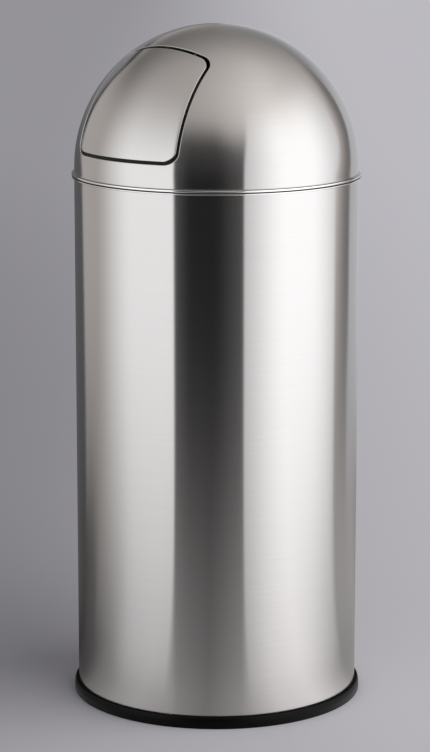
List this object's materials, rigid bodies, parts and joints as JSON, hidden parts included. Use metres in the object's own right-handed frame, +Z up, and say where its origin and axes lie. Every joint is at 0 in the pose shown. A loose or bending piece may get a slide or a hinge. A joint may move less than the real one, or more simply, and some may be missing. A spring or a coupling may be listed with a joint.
{
  "type": "dome top waste receptacle",
  "caption": "Tall round brushed steel waste bin with a black foot ring, a lift-off hemispherical dome with an inward push flap that springs shut, and a lift-out liner with wire handles.",
  "frame": {"origin": "centre of the foot ring, on the floor", "axes": "+Z up; the flap faces -Y; +X is to the right when looking along +Y at the flap"},
  "size_m": [0.391, 0.391, 0.91],
  "materials": {
    "brushed_steel": "brushed round the body, satin",
    "galvanised": "dull spangled zinc",
    "foot_plastic": "black, low sheen",
    "seal_rubber": "black, matt",
    "bush_nylon": "off-white nylon",
    "bright_rod": "bright drawn",
    "spring_steel": "dark spring wire",
    "handle_wire": "zinc plated wire"
  },
  "bodies": {
    "body": {"body_shell": "brushed_steel", "base_ring": "foot_plastic", "base_plate": "galvanised"},
    "lid": {"dome_shell": "brushed_steel", "lid_collar": "galvanised", "hinge_bracket_left": "galvanised", "hinge_bracket_right": "galvanised", "hinge_rod": "bright_rod", "rod_clips": "spring_steel", "flap_spring_left": "spring_steel", "flap_spring_right": "spring_steel"},
    "flap": {"flap_panel": "brushed_steel", "flap_ear_left": "galvanised", "flap_ear_right": "galvanised", "ear_bush_left": "bush_nylon", "ear_bush_right": "bush_nylon", "flap_seal": "seal_rubber"},
    "liner": {"liner_wall": "galvanised", "liner_floor": "galvanised", "handle_plate_left": "galvanised", "handle_plate_right": "galvanised", "plate_rivets": "bright_rod"},
    "handle_left": {"liner_handle_left": "handle_wire"},
    "handle_right": {"liner_handle_right": "handle_wire"}
  },
  "joints": [
    {"name": "lid_lift", "type": "slide", "parent": "body", "child": "lid", "axis": [0, 0, 1], "range_m": [0, 0.25]},
    {"name": "flap_swing", "type": "hinge", "parent": "lid", "child": "flap", "pos_m": [0, -0.0825, 0.86289], "axis": [1, 0, 0], "range_deg": [0, 70], "stiffness_Nm_per_rad": 0.2, "springref_deg": -100.27, "deforming": ["flap_spring_left", "flap_spring_right"]},
    {"name": "liner_lift", "type": "slide", "parent": "body", "child": "liner", "axis": [0, 0, 1], "range_m": [0, 0.04]},
    {"name": "handle_left_swing", "type": "hinge", "parent": "liner", "child": "handle_left", "pos_m": [-0.157, 0, 0.624], "axis": [0, -1, 0], "range_deg": [0, 180]},
    {"name": "handle_right_swing", "type": "hinge", "parent": "liner", "child": "handle_right", "pos_m": [0.157, 0, 0.624], "axis": [0, 1, 0], "range_deg": [0, 180]}
  ]
}
